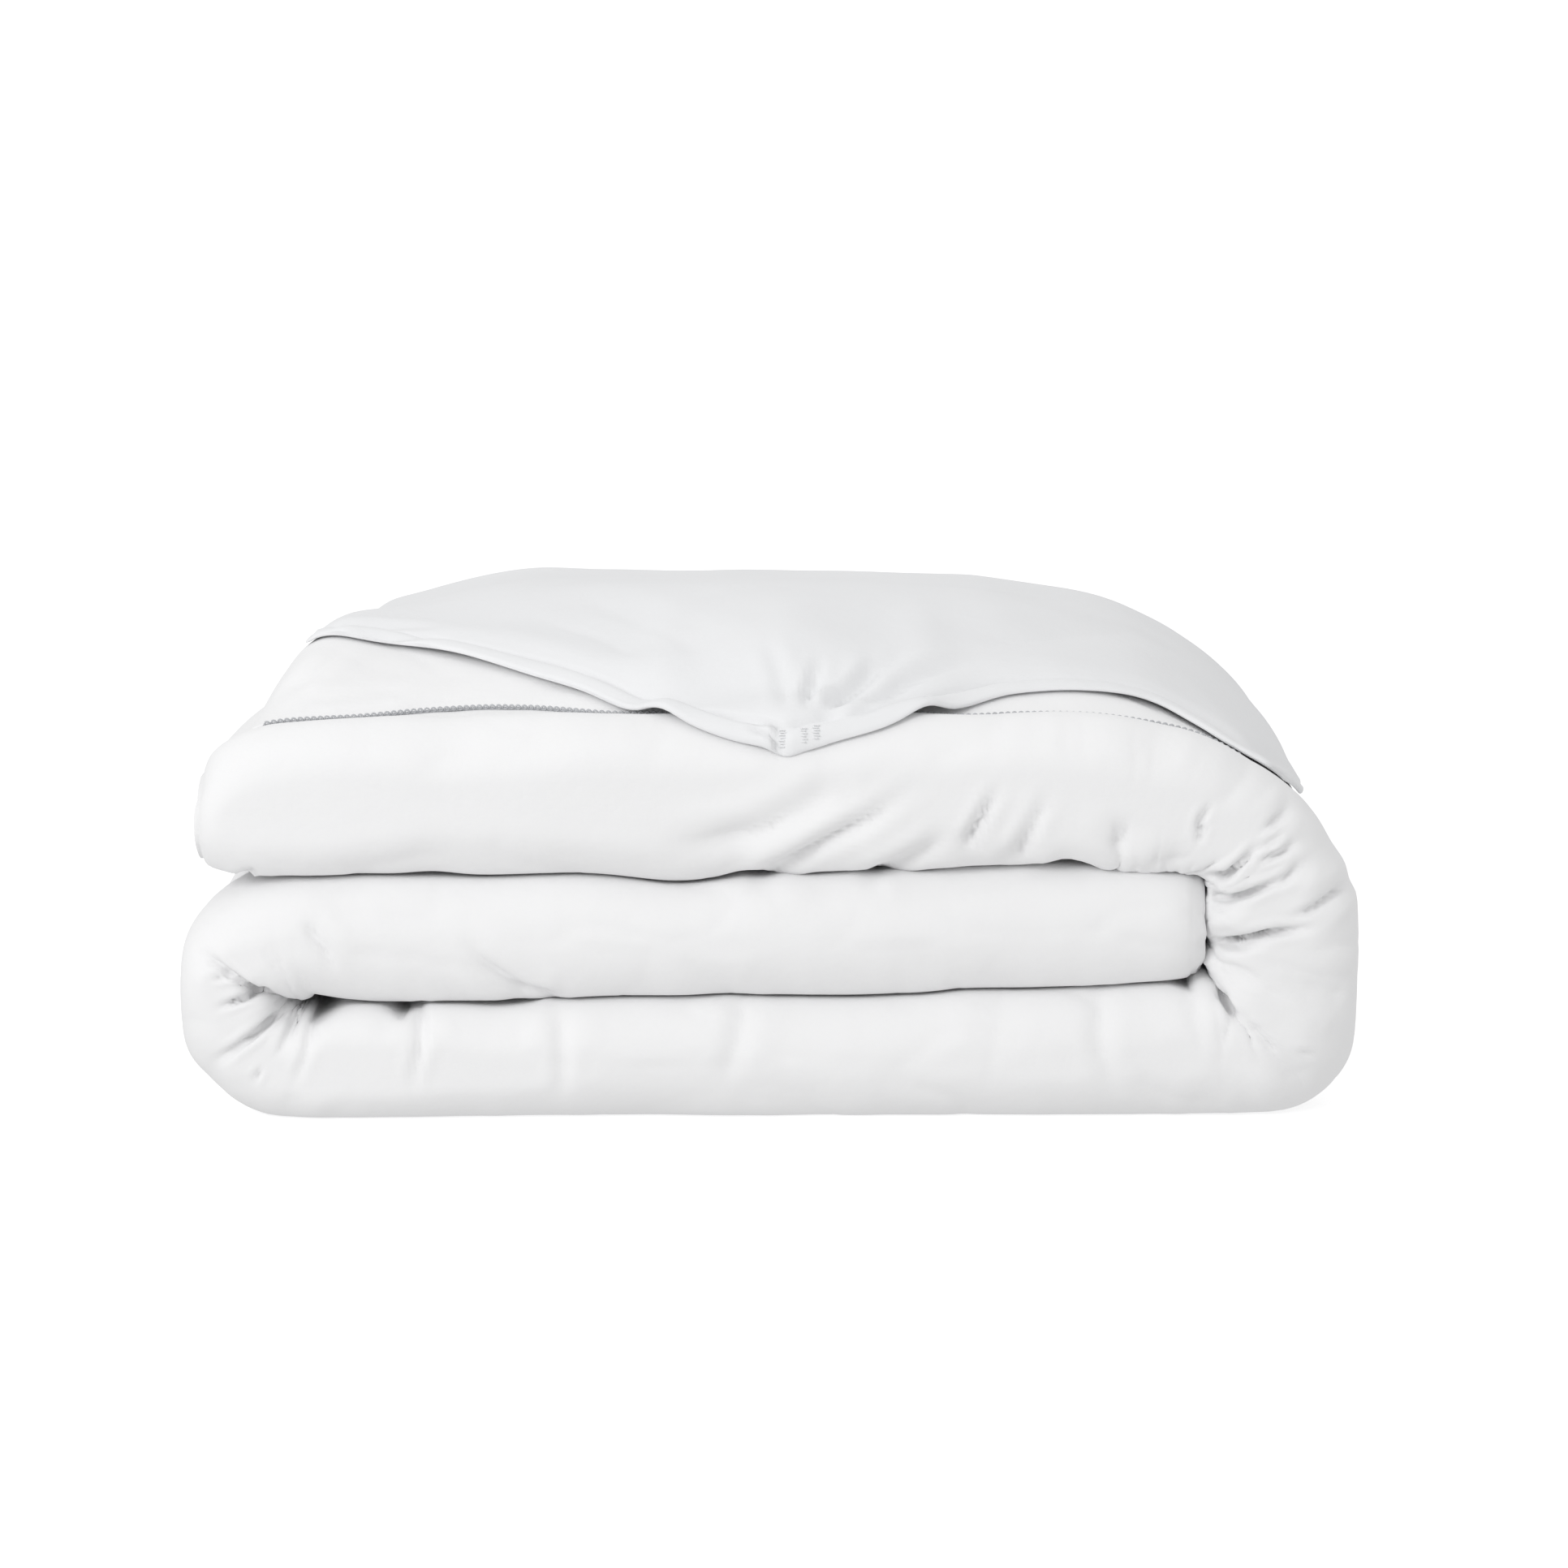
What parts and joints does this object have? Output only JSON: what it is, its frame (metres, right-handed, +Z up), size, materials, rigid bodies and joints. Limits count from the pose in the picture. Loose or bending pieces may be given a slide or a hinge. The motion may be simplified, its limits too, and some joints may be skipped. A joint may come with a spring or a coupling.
{
  "type": "folded duvet",
  "caption": "Quilted duvet in a buttoned cotton cover, folded and rolled into a stack; the top layer is a padded flap whose drawn corner hangs over the front edge.",
  "frame": {"origin": "middle of the stack's footprint, on the surface that it rests on", "axes": "+X along the rolled runs towards the big right-hand bend, +Y from the drawn corner to the back fold, +Z up"},
  "size_m": [0.66, 0.48, 0.28],
  "materials": {
    "face_cotton": "plain-weave cotton percale, matt with a slight sheen",
    "reverse_cotton": "plain-weave cotton, matt",
    "ticking": "close-woven cotton ticking, matt",
    "filling": "loose white fibre",
    "trim_thread": "mercerised cotton thread",
    "button_resin": "polished white resin",
    "tape": "woven tape"
  },
  "bodies": {
    "stack": {"cover_face_panel": "face_cotton", "cover_reverse_panel": "reverse_cotton", "side_seam_lower_ply": "face_cotton", "side_seam_upper_ply": "face_cotton", "foot_hem": "face_cotton", "closure_placket": "face_cotton", "cover_buttons": "button_resin", "head_seam": "face_cotton", "corner_ties": "tape", "care_label": "tape", "ticking_face": "ticking", "ticking_reverse": "ticking", "baffle_walls": "ticking", "fill_channel_01": "filling", "fill_channel_02": "filling", "fill_channel_03": "filling", "fill_channel_04": "filling", "fill_channel_05": "filling", "fill_channel_06": "filling", "fill_channel_07": "filling", "fill_channel_08": "filling", "fill_channel_09": "filling", "fill_channel_10": "filling", "fill_channel_11": "filling", "fill_channel_12": "filling", "return_lower_panel": "reverse_cotton", "return_fill": "filling", "return_upper_panel": "face_cotton", "hem_band": "face_cotton", "hemstitch_cord": "trim_thread", "back_fold_panel": "face_cotton", "back_fold_fill": "filling"},
    "flap": {"flap_lower_panel": "reverse_cotton", "flap_fill": "filling", "flap_upper_panel": "face_cotton", "flap_hem": "face_cotton", "corner_stitches": "trim_thread"}
  },
  "joints": [
    {"name": "flap_lift", "type": "hinge", "parent": "stack", "child": "flap", "pos_m": [0, 0.196, 0.262], "axis": [-1, 0, 0], "range_deg": [0, 75]}
  ]
}
